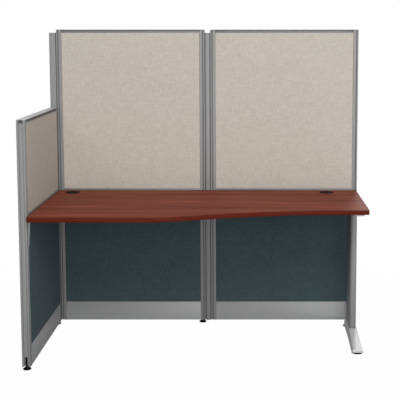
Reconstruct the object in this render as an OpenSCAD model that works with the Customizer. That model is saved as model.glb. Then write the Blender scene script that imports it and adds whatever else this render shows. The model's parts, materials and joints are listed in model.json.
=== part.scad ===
/* [Panels] */
// Width of each back panel
panel_w = 790; // [500:10:1200]
// Height of the back panels, floor to top
panel_h = 1600; // [1300:10:1900]
// Thickness of every panel
panel_t = 42; // [38:1:50]
// Length of the side panel
side_len = 760; // [650:10:900]
// Height of the side panel, floor to top
side_h = 1185; // [950:5:1250]
// Underside of the frames above the floor
frame_lift = 17; // [14:1:24]

/* [Stiles] */
// Width of a stile along the panel
stile_w = 27; // [26:1:34]
// Width of the rounded lip at the stile's outer end
stile_lip_w = 7; // [5:1:8]
// Width of the groove between lip and face
stile_groove_w = 6; // [4:1:7]
// Depth of that groove
stile_groove_d = 7.5; // [2:0.5:8]
// How far the lip lies behind the face
stile_lip_recess = 1; // [0.5:0.5:1.5]
// Mouth of the channel in a stile's end
channel_w = 22; // [18:1:24]
// Depth of that channel
channel_d = 24; // [23:0.5:24.5]

/* [Rails and caps] */
// Thickness of the flat top cap
cap_t = 1.5; // [1.5:0.5:4]
// Height of the shadow gap under the cap
shadow_gap_h = 11; // [6:1:16]
// Depth of that gap
shadow_gap_d = 13; // [9:0.5:15]
// Height of a rail's flange over a pad's edge
flange_h = 5; // [3:1:8]
// Height of the rail tube behind the pads
rail_tube_h = 40; // [30:1:50]
// Wall of the rail tubes
rail_wall = 1.6; // [1.2:0.1:2.5]
// Height of the mid rail's visible face
mid_face_h = 32; // [28:1:40]
// How far the mid rail's face shows above the worktop
mid_face_show = 8; // [4:1:12]

/* [Pads and base covers] */
// Thickness of a fabric-covered pad
pad_t = 8; // [6:0.5:10]
// Height of the base covers
base_cover_h = 99; // [80:1:130]
// Sheet thickness of the base covers
base_sheet = 1.2; // [0.8:0.1:2]
// Width of the base cover's end section beyond its seam
base_end_w = 35; // [25:1:60]

/* [Connectors] */
// Gap between the back panels
inline_gap = 30; // [28:1:36]
// Width of the in-line connector's face
inline_face_w = 23; // [20:1:26]
// How far connector and post lie behind the panel faces
joint_recess = 4; // [2:0.5:6]
// How far connector, post and end trims stop below the panel top
joint_drop = 17; // [12:1:24]
// Width of an end trim's face
trim_face_w = 16; // [12:0.5:18]
// Top of the slot in an end trim, above the floor
slot_top = 64; // [50:1:80]
// Width of that slot
slot_w = 12; // [10:1:13]

/* [Levelling glides] */
// Radius of a panel glide's pad
glide_pad_r = 19.5; // [16:0.5:20]
// Radius of a leg glide's pad
leg_pad_r = 28; // [18:1:28]
// Radius of the threaded stud
stud_r = 4; // [3:0.5:5]
// Distance of a panel glide's axis from the panel's end
glide_inset = 17; // [16.5:0.5:17]
// How far a panel glide screws out
glide_travel = 20; // [10:1:25]
// How far a leg glide screws out
leg_glide_travel = 6; // [3:1:8]

/* [Worktop] */
// Height of the worktop's upper face
desk_h = 737; // [680:1:780]
// Thickness of the worktop
desk_t = 22; // [18:1:30]
// How far the worktop's deep left end stands out past the side panel
desk_overhang = 36; // [10:2:90]
// Depth of the worktop at its right end
desk_right_d = 609; // [590:1:640]
// Gap at the worktop's right end to the right panel's end
desk_end_gap = 5; // [2:1:20]
// Straight run of the front edge at the deep left end
wave_start = 559; // [450:1:620]
// Straight run of the front edge at the right end
wave_end = 132; // [60:1:200]
// The wave's bulging radius, as a share of both its radii together
wave_front_share = 0.168; // [0.12:0.002:0.5]
// The wave's straight slope, as a share of both its radii together
wave_slope_share = 0.094; // [0:0.002:0.3]
// Thickness of the edge band
band_t = 2; // [1:0.5:3]

/* [Cable grommets] */
// Radius of the grommet's flange
grommet_flange_r = 38; // [36:0.5:42]
// Radius of the hole in the worktop
grommet_hole_r = 32; // [31:0.5:33]
// Distance of both grommets from the worktop's back edge
grommet_back = 75; // [60:1:120]
// Left grommet from the worktop's left edge
grommet_left = 84; // [60:1:160]
// Right grommet from the worktop's right edge
grommet_right = 166; // [100:1:220]

/* [Leg] */
// Width of the blade column
column_w = 34; // [28:1:38]
// Depth of the blade column
column_d = 185; // [150:1:195]
// Distance of the column's back edge from the back panels
column_back = 107; // [105:1:115]
// Leg centre line from the worktop's right edge
leg_inset = 40; // [32:1:60]
// Width of the foot at its front end
foot_front_w = 60; // [50:1:62]
// How far each flank of the foot leans in at its front end
foot_lean = 4.5; // [0:0.5:6]
// Height of the foot under the column
foot_h = 60; // [50:1:70]
// Distance of the foot's front end from the back panels
foot_reach = 530; // [500:1:560]
// Width of the arm at its front end
arm_front_w = 50; // [44:1:56]
// Height of the arm at the column
arm_h = 45; // [38:1:55]

/* [Hidden] */
// Overrun of every cut
over = 1;
// Gap between pieces that seat in each other
fit_gap = 0.3;
// Radial gap of a stud or screw in its hole
stud_gap = 0.1;
// Gap between the worktop and the panels beside it
desk_gap = 3;
// Smoothness of round solids
$fn = 48;

silver = "#9a9b9d";
kick_grey = "#8d8e90";
tan_cloth = "#bdb3a6";
teal_cloth = "#3a4a50";
cherry = "#7a4434";
cherry_edge = "#632c20";
jet = "#1d1e1f";
light_silver = "#b4b5b7";
zinc = "#8f9294";

// The right end's glide pad stands a little proud, and the origin is the middle of the whole
glide_proud = max(0, glide_pad_r - glide_inset);
total_d = panel_t + side_len + desk_overhang;
total_w = panel_t + panel_w + inline_gap + panel_w;
outer_x = -(total_w + glide_proud) / 2;
end_x = outer_x + total_w;
left_x = outer_x + panel_t;
right_x = left_x + panel_w + inline_gap;
back_y = total_d / 2 - panel_t;
side_x = left_x;
side_y = back_y - side_len;

lip_r = 3;
land_r = 0.8;
land_x = stile_lip_w + stile_groove_w;
channel_y = (panel_t - channel_w) / 2;
insert_from = 10.5;
insert_z = 90;
insert_h = 20;

flange_drop = cap_t + shadow_gap_h;
pad_top_drop = flange_drop + flange_h;
mid_top = desk_h + mid_face_show;
mid_bottom = mid_top - mid_face_h;
base_lift = 1;
base_bottom = frame_lift + base_lift;
base_top = base_bottom + base_cover_h;
base_depth = pad_t - fit_gap;
base_return = 6;
seam_w = 1.5;
seam_end_gap = 14;
pad_edge_r = 2.5;
bottom_flange_h = 4;

tongue_w = channel_w - 2 * fit_gap;
tongue_d = 9;
post_w = panel_t - 2 * joint_recess;
post_corner_r = 4;
post_wall = 2.5;
joint_hang = 2;
joint_bottom = frame_lift - joint_hang;
joint_top_t = 3;
trim_t = 2;
trim_leg_t = 1.5;
trim_bottom = frame_lift + 4 * base_lift;
tongue_bottom = insert_z - insert_h / 2;

pad_disc_h = 6;
pad_bevel = 1.5;
shoulder_r = 9;
shoulder_foot_r = 11.5;
sleeve_foot_r = 6.5;
sleeve_top_z = slot_top - fit_gap;
stud_spare = 5;
stud_top = insert_z + insert_h + stud_spare + glide_travel / 2;
leg_pad_h = 8.5;
leg_neck_r = 9;

desk_x = side_x + desk_gap;
desk_w = end_x - desk_end_gap - desk_x;
desk_y = back_y - desk_gap;
desk_left_d = total_d - panel_t - desk_gap;
desk_right_reach = desk_right_d - desk_gap;
desk_under = desk_h - desk_t;
wave_drop = desk_left_d - desk_right_reach;
// Two arcs and a straight slope between them join both runs of the front edge without a kink
wave_span = desk_w - wave_start - wave_end;
wave_steepness = wave_drop / wave_span;
wave_far = 1 + wave_steepness * wave_slope_share;
wave_near = wave_steepness - wave_slope_share;
wave_angle = atan2(wave_near, wave_far) + acos(1 / norm([wave_far, wave_near]));
wave_radii = wave_span / (sin(wave_angle) + wave_slope_share * cos(wave_angle));
wave_front_r = wave_front_share * wave_radii;
wave_back_r = wave_radii - wave_front_r;
wave_steps = 24;
corner_r = 6;
corner_steps = 6;

grommet_y = desk_y - grommet_back;
grommet_left_x = desk_x + grommet_left;
grommet_right_x = desk_x + desk_w - grommet_right;
rim_h = 2.5;
rim_edge_share = 0.3;
ledge_r = 27.5;
lid_r = 30;
lid_t = 2.2;
recess_d = 2.6;
liner_len = 19;
skirt_r = 27.1;
skirt_t = 1.8;
skirt_len = 7;
notch_w = 18;
notch_d = 16;

leg_x = desk_x + desk_w - leg_inset;
// Places on the leg are distances v from the back panels' face towards the front
foot_lift = 9;
foot_round = 5;
foot_back_v = 28;
slice = 0.5;
arm_back_v = 62;
arm_set_back = 46;
arm_front_v = desk_right_d - arm_set_back;
arm_round = 6;
column_wall = 2.2;
column_front_v = column_back + column_d;
pocket_d = 6;
waist_margin = 3;
waist_w = column_w + 2 * waist_margin;
foot_tip_h = 23;
tip_t = foot_tip_h - foot_lift;
nose_r = 10;
nose_edge = 4;
crown = 2;
arm_tip_h = 15;
front_glide_v = foot_reach - leg_pad_r;
back_glide_v = foot_back_v + leg_pad_r;
stud_grip = 4;
front_stud_len = leg_glide_travel + stud_grip;
back_stud_len = leg_glide_travel + 3 * stud_grip;

// Sections of foot and arm: place along the run, width and height, as shares of waist and column height
foot_back_shares = [[0, 0.84, 0.45], [0.45, 0.95, 0.78], [1, 1, 1]];
arm_back_shares = [[0, 0.92, 0.55], [1, 1, 1]];
// In front of the column: place, how far the width has grown, how much height is left over the tip's
foot_front_shares = [[0, 0, 1], [0.2, 0.16, 0.74], [0.45, 0.45, 0.42], [0.75, 0.82, 0.14]];
arm_front_shares = [[0, 0, 1], [0.4, 0.4, 0.45], [0.95, 1, 0.08], [1, 0.78, 0]];

function stations(back_v, front_v, h, tip_w, tip_h, back_shares, front_shares) = concat(
  [for (s = back_shares) [back_v + s[0] * (column_back - back_v), s[1] * waist_w, s[2] * h]],
  [for (s = front_shares) [column_front_v + s[0] * (front_v - column_front_v),
    waist_w + s[1] * (tip_w - waist_w), tip_h + s[2] * (h - tip_h)]]);
foot_stations = stations(foot_back_v, foot_reach, foot_h, foot_front_w, foot_tip_h,
  foot_back_shares, foot_front_shares);
arm_stations = stations(arm_back_v, arm_front_v, arm_h, arm_front_w, arm_tip_h,
  arm_back_shares, arm_front_shares);

bracket_t = 3;
bracket_w = 24;
bracket_leg = 60;
bracket_reach = 44;
gusset_h = 125;
gusset_reach = 40;
gusset_toe = 4;
gusset_lug = 12;
screw_r = 2;
screw_len = 15;
screw_head_r = 4.2;
screw_head_h = 2.6;
screw_hole_r = 2.6;
head_well_r = 5.2;
head_well_up = 8;
// Places of the screws: pairs in the arm's ends, one in each bracket
arm_screw_dx = 12;
arm_screw_in = 26;
arm_front_screw_v = arm_front_v - arm_screw_in;
arm_back_screw_v = arm_back_v + arm_screw_in / 2;
land_mid = (land_x + stile_w) / 2;
bracket_xs = [left_x + land_mid, left_x + panel_w - land_mid,
  right_x + land_mid, right_x + panel_w - land_mid];
bracket_screw_in = 14;
bracket_screw_v = bracket_reach - bracket_screw_in;
gusset_y = side_y + land_mid;
gusset_screw_x = side_x + gusset_reach - bracket_screw_in;

// Frames of reference: x runs along a panel, y from its inner face to its outer face
module at_left() translate([left_x, back_y, 0]) children();
module at_right() translate([right_x, back_y, 0]) children();
module at_side() translate([side_x, side_y, 0]) rotate(90) children();
module outer_side() translate([0, panel_t, 0]) mirror([0, 1, 0]) children();
module far_end(len) translate([len, 0, 0]) mirror([1, 0, 0]) children();

// One stile's cross-section, with its end channel open towards -x
module stile_profile() {
  difference() {
    union() {
      for (y = [stile_lip_recess + lip_r, panel_t - stile_lip_recess - lip_r])
        translate([lip_r, y]) circle(lip_r);
      translate([lip_r, stile_lip_recess]) square([stile_lip_w - lip_r, panel_t - 2 * stile_lip_recess]);
      translate([0, stile_lip_recess + lip_r])
        square([stile_lip_w, panel_t - 2 * (stile_lip_recess + lip_r)]);
      translate([stile_lip_w - over, stile_groove_d])
        square([stile_groove_w + 2 * over, panel_t - 2 * stile_groove_d]);
      translate([land_x, land_r]) square([stile_w - land_x, panel_t - 2 * land_r]);
      translate([land_x + land_r, 0]) square([stile_w - land_x - 2 * land_r, panel_t]);
      for (x = [land_x + land_r, stile_w - land_r], y = [land_r, panel_t - land_r])
        translate([x, y]) circle(land_r);
    }
    translate([-over, channel_y]) square([channel_d + over, channel_w]);
  }
}

// A stile with the threaded insert that holds its levelling glide
module stile(h, with_insert = true) {
  color(silver) difference() {
    union() {
      translate([0, 0, frame_lift]) linear_extrude(h - frame_lift - cap_t) stile_profile();
      if (with_insert)
        translate([insert_from, channel_y - over / 2, insert_z])
          cube([channel_d - insert_from + over / 2, channel_w + over, insert_h]);
    }
    if (with_insert)
      translate([glide_inset, panel_t / 2, insert_z - over])
        cylinder(h = insert_h + 2 * over, r = stud_r + stud_gap);
  }
}

// Hollow rail tube between the stiles, set back from both panel faces by d
module rail_tube(len, d, z, h) {
  span = len - 2 * stile_w;
  translate([stile_w, d, z]) difference() {
    cube([span, panel_t - 2 * d, h]);
    translate([-over, rail_wall, rail_wall])
      cube([span + 2 * over, panel_t - 2 * (d + rail_wall), h - 2 * rail_wall]);
  }
}

// Flat face strips that a rail carries out to both panel faces, d deep
module rail_faces(len, d, z, h) {
  span = len - 2 * stile_w;
  for (y = [0, panel_t - d]) translate([stile_w, y, z]) cube([span, d, h]);
}

module top_rail(len, h) color(silver) {
  rail_tube(len, shadow_gap_d, h - cap_t - rail_tube_h, rail_tube_h);
  rail_faces(len, shadow_gap_d, h - pad_top_drop, flange_h);
}

module mid_rail(len) color(silver) {
  rail_tube(len, pad_t, mid_bottom, mid_face_h);
  rail_faces(len, pad_t, mid_bottom, mid_face_h);
}

module bottom_rail(len) color(silver) {
  rail_tube(len, pad_t, base_bottom, rail_tube_h);
  rail_faces(len, pad_t, base_top, bottom_flange_h);
  translate([stile_w, pad_t, base_bottom + rail_tube_h - over])
    cube([len - 2 * stile_w, rail_wall, base_top + bottom_flange_h - base_bottom - rail_tube_h + over]);
  translate([stile_w, panel_t - pad_t - rail_wall, base_bottom + rail_tube_h - over])
    cube([len - 2 * stile_w, rail_wall, base_top + bottom_flange_h - base_bottom - rail_tube_h + over]);
}

module top_cap(len, h) color(silver)
  translate([0, 0, h - cap_t]) linear_extrude(cap_t) {
    translate([0, lip_r]) square([len, panel_t - 2 * lip_r]);
    translate([lip_r, 0]) square([len - 2 * lip_r, panel_t]);
    for (x = [lip_r, len - lip_r], y = [lip_r, panel_t - lip_r]) translate([x, y]) circle(lip_r);
  }

// A board wrapped in cloth, its face edges rounded
module pad(len, z_from, z_to) {
  span = len - 2 * (stile_w + fit_gap);
  translate([stile_w + fit_gap, 0, z_from + fit_gap]) linear_extrude(z_to - z_from - 2 * fit_gap) {
    translate([0, pad_edge_r]) square([span, pad_t - pad_edge_r - fit_gap]);
    translate([pad_edge_r, 0]) square([span - 2 * pad_edge_r, pad_t - fit_gap]);
    for (x = [pad_edge_r, span - pad_edge_r]) translate([x, pad_edge_r]) circle(pad_edge_r);
  }
}

module upper_pad(len, h) color(tan_cloth) pad(len, mid_top, h - pad_top_drop);
module lower_pad(len) color(teal_cloth) pad(len, base_top + bottom_flange_h, mid_bottom);

// Folded kick plate with a returned top and bottom edge; the seam marks its end section
module base_cover(len, with_seam = true) {
  span = len - 2 * (stile_w + fit_gap);
  color(kick_grey) translate([stile_w + fit_gap, 0, base_bottom]) difference() {
    rotate([90, 0, 90]) linear_extrude(span) polygon([
      [0, 0], [base_depth, 0], [base_depth, base_return], [base_depth - base_sheet, base_return],
      [base_depth - base_sheet, base_sheet], [base_sheet, base_sheet],
      [base_sheet, base_cover_h - base_sheet - fit_gap],
      [base_depth - base_sheet, base_cover_h - base_sheet - fit_gap],
      [base_depth - base_sheet, base_cover_h - base_return], [base_depth, base_cover_h - base_return],
      [base_depth, base_cover_h - fit_gap], [0, base_cover_h - fit_gap]]);
    if (with_seam) translate([span - base_end_w, -over, seam_end_gap])
      cube([seam_w, over + base_sheet / 2, base_cover_h]);
  }
}

// Tube with rounded corners, closed at its top
module joint_tube(z_to, size_x, size_y, r, wall) difference() {
  translate([0, 0, joint_bottom]) linear_extrude(z_to - joint_bottom) {
    translate([r, 0]) square([size_x - 2 * r, size_y]);
    translate([0, r]) square([size_x, size_y - 2 * r]);
    for (x = [r, size_x - r], y = [r, size_y - r]) translate([x, y]) circle(r);
  }
  translate([wall, wall, joint_bottom - over])
    cube([size_x - 2 * wall, size_y - 2 * wall, z_to - joint_top_t - joint_bottom + over]);
}

// A tongue that slides into a stile's end channel, along +x
module tongue(z_to, reach)
  translate([0, -tongue_w / 2, tongue_bottom]) cube([reach, tongue_w, z_to - tongue_bottom]);

module corner_post() {
  x0 = outer_x + joint_recess;
  y0 = back_y + joint_recess;
  top = panel_h - joint_drop;
  reach = joint_recess + tongue_d;
  color(silver) {
    translate([x0, y0, 0]) joint_tube(top, post_w, post_w, post_corner_r, post_wall);
    translate([x0 + post_w - over, back_y + panel_t / 2, 0]) tongue(top, reach + over);
    translate([outer_x + panel_t / 2, y0 + over, 0]) rotate(-90) tongue(side_h - joint_drop, reach + over);
  }
}

module inline_connector() {
  side_gap = (inline_gap - inline_face_w) / 2;
  x0 = left_x + panel_w + side_gap;
  top = panel_h - joint_drop;
  reach = side_gap + tongue_d;
  color(silver) {
    translate([x0, back_y + joint_recess, 0]) joint_tube(top, inline_face_w, post_w, post_wall, post_wall);
    translate([x0 + inline_face_w - over, back_y + panel_t / 2, 0]) tongue(top, reach + over);
    translate([x0 + over, back_y + panel_t / 2, 0]) rotate(180) tongue(top, reach + over);
  }
}

// Cover strip that snaps into an open end channel; its slot gives access to the glide
module end_trim(h) color(silver) translate([0, panel_t / 2, trim_bottom]) difference() {
  linear_extrude(h - joint_drop - trim_bottom) {
    translate([0, -trim_face_w / 2]) square([trim_t + over, trim_face_w]);
    translate([trim_t, -tongue_w / 2]) square([trim_t, tongue_w]);
    for (y = [-tongue_w / 2, tongue_w / 2 - trim_leg_t])
      translate([trim_t, y]) square([tongue_d - trim_t, trim_leg_t]);
  }
  translate([-over, -slot_w / 2, -over])
    cube([2 * trim_t + 2 * over, slot_w, slot_top - trim_bottom + over]);
}

// Round pad, shoulder and tapered sleeve on a threaded stud
module panel_glide() color(jet) translate([glide_inset, panel_t / 2, 0]) {
  rotate_extrude() polygon([
    [0, 0], [glide_pad_r - pad_bevel, 0], [glide_pad_r, pad_bevel], [glide_pad_r, pad_disc_h - pad_bevel],
    [glide_pad_r - pad_bevel, pad_disc_h], [shoulder_foot_r, pad_disc_h],
    [shoulder_r, frame_lift - fit_gap], [sleeve_foot_r, frame_lift - fit_gap],
    [stud_r, sleeve_top_z], [stud_r, stud_top], [0, stud_top]]);
}

// Pad with a short neck and a stud that screws up into the leg's foot
module leg_glide(v, stud_len) color(jet) translate([leg_x, back_y - v, 0]) {
  top = foot_lift + stud_len - fit_gap;
  rotate_extrude() polygon([
    [0, 0], [leg_pad_r - pad_bevel, 0], [leg_pad_r, pad_bevel], [leg_pad_r - pad_bevel, pad_disc_h],
    [leg_neck_r, leg_pad_h], [stud_r, leg_pad_h], [stud_r, top], [0, top]]);
}

// Points of an arc, from one angle to another
function arc(cx, cy, r, from, to, steps) =
  [for (i = [0:steps]) let (a = from + (to - from) * i / steps) [cx + r * cos(a), cy + r * sin(a)]];

// The worktop's outline, drawn in by inset; x from the left edge, y from the back edge
function desk_outline(inset) =
  let (r = corner_r - inset)
  concat(
    [[inset, -inset]],
    arc(corner_r, -desk_left_d + corner_r, r, 180, 270, corner_steps),
    arc(wave_start, -desk_left_d + wave_front_r, wave_front_r - inset, 270, 270 + wave_angle, wave_steps),
    arc(desk_w - wave_end, -desk_right_reach - wave_back_r, wave_back_r + inset, 90 + wave_angle, 90,
      wave_steps),
    arc(desk_w - corner_r, -desk_right_reach + corner_r, r, 270, 360, corner_steps),
    [[desk_w - inset, -inset]]);

module desk_slab(inset, extra)
  translate([desk_x, desk_y, desk_under - extra]) linear_extrude(desk_t + 2 * extra)
    polygon(desk_outline(inset));

module at_arm_screws()
  for (v = [arm_front_screw_v, arm_back_screw_v], dx = [-arm_screw_dx, arm_screw_dx])
    translate([leg_x + dx, back_y - v, desk_under]) children();

module at_bracket_screws() {
  for (x = bracket_xs) translate([x, back_y - bracket_screw_v, desk_under]) children();
  translate([gusset_screw_x, gusset_y, desk_under]) children();
}

module worktop() color(cherry) difference() {
  desk_slab(band_t, 0);
  for (x = [grommet_left_x, grommet_right_x])
    translate([x, grommet_y, desk_under - over]) cylinder(h = desk_t + 2 * over, r = grommet_hole_r);
  at_arm_screws() screw_pilot();
  at_bracket_screws() screw_pilot();
}

module screw_pilot()
  translate([0, 0, -over]) cylinder(h = screw_len + fit_gap + over, r = screw_r + stud_gap);

module edge_band() color(cherry_edge) difference() {
  desk_slab(0, 0);
  desk_slab(band_t, over);
}

module grommet_liner(x) color(jet) translate([x, grommet_y, desk_h]) rotate_extrude() polygon([
  [lid_r + fit_gap, rim_h], [grommet_flange_r - rim_h, rim_h], [grommet_flange_r, rim_edge_share * rim_h],
  [grommet_flange_r, 0], [grommet_hole_r - fit_gap, 0], [grommet_hole_r - fit_gap, -liner_len],
  [ledge_r, -liner_len], [ledge_r, rim_h - recess_d], [lid_r + fit_gap, rim_h - recess_d]]);

// Lid with a snap skirt; the notch lets cables through and points to the back
module grommet_cover(x) color(jet) translate([x, grommet_y, desk_h]) difference() {
  rotate_extrude() polygon([
    [0, rim_h - lid_t], [skirt_r - skirt_t, rim_h - lid_t], [skirt_r - skirt_t, rim_h - lid_t - skirt_len],
    [skirt_r, rim_h - lid_t - skirt_len], [skirt_r, rim_h - lid_t], [lid_r, rim_h - lid_t],
    [lid_r, rim_h - fit_gap], [lid_r - fit_gap, rim_h], [0, rim_h]]);
  translate([-notch_w / 2, lid_r - notch_d, -skirt_len - over])
    cube([notch_w, notch_d + over, skirt_len + rim_h + 2 * over]);
}

module desk_wall_brackets() color(zinc) difference() {
  for (x = bracket_xs)
    translate([x - bracket_w / 2, back_y, desk_under]) rotate([90, 0, 90]) linear_extrude(bracket_w)
      polygon([[0, 0], [-bracket_reach, 0], [-bracket_reach, -bracket_t], [-2 * bracket_t, -bracket_t],
        [-bracket_t, -2 * bracket_t], [-bracket_t, -bracket_leg], [0, -bracket_leg]]);
  at_bracket_screws() screw_way();
}

module screw_way()
  translate([0, 0, -bracket_t - over]) cylinder(h = bracket_t + 2 * over, r = screw_hole_r);

// Bracket on the side panel's front stile: wall plate, shelf and a tapering web
module side_gusset_bracket() color(light_silver) difference() {
  translate([side_x, gusset_y, desk_under]) {
    translate([0, -bracket_w / 2, -gusset_h]) cube([bracket_t, bracket_w, gusset_h]);
    translate([0, -bracket_w / 2, -bracket_t]) cube([gusset_reach, bracket_w, bracket_t]);
    translate([0, bracket_t - bracket_w / 2, 0]) rotate([90, 0, 0]) linear_extrude(bracket_t)
      polygon([[0, 0], [gusset_lug, 0], [gusset_lug, -2 * bracket_t], [gusset_toe, -gusset_h],
        [0, -gusset_h]]);
  }
  at_bracket_screws() screw_way();
}

module screw(seat) color(zinc) translate([0, 0, -seat]) {
  cylinder(h = screw_len + seat, r = screw_r);
  translate([0, 0, -screw_head_h]) cylinder(h = screw_head_h, r = screw_head_r);
}

module desk_screws() {
  at_arm_screws() screw(head_well_up);
  at_bracket_screws() screw(bracket_t);
}

// One cross-section of the foot: flat underside, leaning flanks, crowned top with rounded edges
module foot_slice(at) {
  top = at[2] - foot_lift;
  lean = max(0, foot_lean * (at[1] - waist_w) / (foot_front_w - waist_w));
  edge_r = min(foot_round, (top - crown) / 2);
  ridge_r = min(at[1] / 2 - edge_r, top / 2);
  translate([leg_x, back_y - at[0], foot_lift]) rotate([90, 0, 0]) {
    translate([-at[1] / 2, 0, 0]) cube([at[1], slice, slice]);
    for (side = [-1, 1]) translate([side * (at[1] / 2 - lean - edge_r), top - crown - edge_r, 0])
      cylinder(h = slice, r = edge_r, $fn = 32);
    translate([0, top - ridge_r, 0]) cylinder(h = slice, r = ridge_r, $fn = 32);
  }
}

// The foot's front end: rounded corners in plan, softened upper edge
module foot_nose() translate([leg_x, back_y - foot_reach + nose_r, foot_lift])
  for (side = [-1, 1], part = [[0, 0, slice], [foot_lean, 0, tip_t - nose_edge], [foot_lean, nose_edge, tip_t]])
    translate([side * (foot_front_w / 2 - nose_r - part[0]), 0, part[2] - slice])
      cylinder(h = slice, r = nose_r - part[1], $fn = 32);

module leg_foot() color(light_silver) difference() {
  for (i = [1:len(foot_stations)]) hull() {
    foot_slice(foot_stations[i - 1]);
    if (i < len(foot_stations)) foot_slice(foot_stations[i]);
    else foot_nose();
  }
  for (glide = [[front_glide_v, front_stud_len], [back_glide_v, back_stud_len]])
    translate([leg_x, back_y - glide[0], foot_lift - over])
      cylinder(h = glide[1] + over, r = stud_r + stud_gap);
  translate([leg_x, back_y - column_back, foot_h - pocket_d]) linear_extrude(pocket_d + over)
    blade(column_w, column_d, -fit_gap);
}

module leg_column() {
  h = desk_under - arm_h - foot_h + 2 * pocket_d;
  color(silver) translate([leg_x, back_y - column_back, foot_h - pocket_d]) difference() {
    linear_extrude(h) blade(column_w, column_d, 0);
    translate([0, 0, -over]) linear_extrude(h + 2 * over) blade(column_w, column_d, column_wall);
  }
}

// Long outline with round ends, from y = 0 towards the front, drawn in by inset
module blade(w, d, inset) {
  r = w / 2;
  translate([-r + inset, -d + r]) square([w - 2 * inset, d - w]);
  for (y = [-r, -d + r]) translate([0, y]) circle(r - inset);
}

// One cross-section of the arm: flat top against the worktop, rounded lower edges
module arm_slice(at) {
  edge_r = min(arm_round, at[2] / 2);
  translate([leg_x, back_y - at[0], desk_under]) rotate([90, 0, 0]) {
    translate([-at[1] / 2, -slice, 0]) cube([at[1], slice, slice]);
    for (side = [-1, 1]) translate([side * (at[1] / 2 - edge_r), edge_r - at[2], 0])
      cylinder(h = slice, r = edge_r, $fn = 32);
  }
}

module leg_top_arm() color(light_silver) difference() {
  for (i = [1:len(arm_stations) - 1]) hull() {
    arm_slice(arm_stations[i - 1]);
    arm_slice(arm_stations[i]);
  }
  at_arm_screws() {
    translate([0, 0, -arm_h]) cylinder(h = arm_h + over, r = screw_hole_r);
    translate([0, 0, -arm_h - over]) cylinder(h = arm_h - head_well_up + over, r = head_well_r);
  }
  translate([leg_x, back_y - column_back, desk_under - arm_h - over]) linear_extrude(pocket_d + over)
    blade(column_w, column_d, -fit_gap);
}

module left_left_stile() at_left() stile(panel_h, false);
module left_right_stile() at_left() far_end(panel_w) stile(panel_h);
module left_top_rail() at_left() top_rail(panel_w, panel_h);
module left_mid_rail() at_left() mid_rail(panel_w);
module left_bottom_rail() at_left() bottom_rail(panel_w);
module left_top_cap() at_left() top_cap(panel_w, panel_h);
module left_upper_pad_front() at_left() upper_pad(panel_w, panel_h);
module left_upper_pad_back() at_left() outer_side() upper_pad(panel_w, panel_h);
module left_lower_pad_front() at_left() lower_pad(panel_w);
module left_lower_pad_back() at_left() outer_side() lower_pad(panel_w);
module left_base_cover_front() at_left() base_cover(panel_w, false);
module left_base_cover_back() at_left() outer_side() base_cover(panel_w, false);

module right_left_stile() at_right() stile(panel_h, false);
module right_right_stile() at_right() far_end(panel_w) stile(panel_h);
module right_top_rail() at_right() top_rail(panel_w, panel_h);
module right_mid_rail() at_right() mid_rail(panel_w);
module right_bottom_rail() at_right() bottom_rail(panel_w);
module right_top_cap() at_right() top_cap(panel_w, panel_h);
module right_upper_pad_front() at_right() upper_pad(panel_w, panel_h);
module right_upper_pad_back() at_right() outer_side() upper_pad(panel_w, panel_h);
module right_lower_pad_front() at_right() lower_pad(panel_w);
module right_lower_pad_back() at_right() outer_side() lower_pad(panel_w);
module right_base_cover_front() at_right() base_cover(panel_w);
module right_base_cover_back() at_right() outer_side() base_cover(panel_w, false);

module side_front_stile() at_side() stile(side_h);
module side_back_stile() at_side() far_end(side_len) stile(side_h);
module side_top_rail() at_side() top_rail(side_len, side_h);
module side_mid_rail() at_side() mid_rail(side_len);
module side_bottom_rail() at_side() bottom_rail(side_len);
module side_top_cap() at_side() top_cap(side_len, side_h);
module side_upper_pad_inner() at_side() upper_pad(side_len, side_h);
module side_upper_pad_outer() at_side() outer_side() upper_pad(side_len, side_h);
module side_lower_pad_inner() at_side() lower_pad(side_len);
module side_lower_pad_outer() at_side() outer_side() lower_pad(side_len);
module side_base_cover_inner() at_side() base_cover(side_len);
module side_base_cover_outer() at_side() outer_side() base_cover(side_len, false);

module side_end_trim() at_side() end_trim(side_h);
module right_end_trim() at_right() far_end(panel_w) end_trim(panel_h);
module side_front_glide() at_side() panel_glide();
module side_back_glide() at_side() far_end(side_len) panel_glide();
module left_right_glide() at_left() far_end(panel_w) panel_glide();
module right_right_glide() at_right() far_end(panel_w) panel_glide();
module left_grommet_liner() grommet_liner(grommet_left_x);
module left_grommet_cover() grommet_cover(grommet_left_x);
module right_grommet_liner() grommet_liner(grommet_right_x);
module right_grommet_cover() grommet_cover(grommet_right_x);
module leg_front_glide() leg_glide(front_glide_v, front_stud_len);
module leg_back_glide() leg_glide(back_glide_v, back_stud_len);

left_left_stile();
left_right_stile();
left_top_rail();
left_mid_rail();
left_bottom_rail();
left_top_cap();
left_upper_pad_front();
left_upper_pad_back();
left_lower_pad_front();
left_lower_pad_back();
left_base_cover_front();
left_base_cover_back();
right_left_stile();
right_right_stile();
right_top_rail();
right_mid_rail();
right_bottom_rail();
right_top_cap();
right_upper_pad_front();
right_upper_pad_back();
right_lower_pad_front();
right_lower_pad_back();
right_base_cover_front();
right_base_cover_back();
side_front_stile();
side_back_stile();
side_top_rail();
side_mid_rail();
side_bottom_rail();
side_top_cap();
side_upper_pad_inner();
side_upper_pad_outer();
side_lower_pad_inner();
side_lower_pad_outer();
side_base_cover_inner();
side_base_cover_outer();
corner_post();
inline_connector();
side_end_trim();
right_end_trim();
side_front_glide();
side_back_glide();
left_right_glide();
right_right_glide();
worktop();
edge_band();
left_grommet_liner();
left_grommet_cover();
right_grommet_liner();
right_grommet_cover();
desk_wall_brackets();
side_gusset_bracket();
desk_screws();
leg_column();
leg_foot();
leg_top_arm();
leg_front_glide();
leg_back_glide();
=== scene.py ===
import bmesh
import bpy
import json
import math
from mathutils import Matrix, Vector

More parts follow.
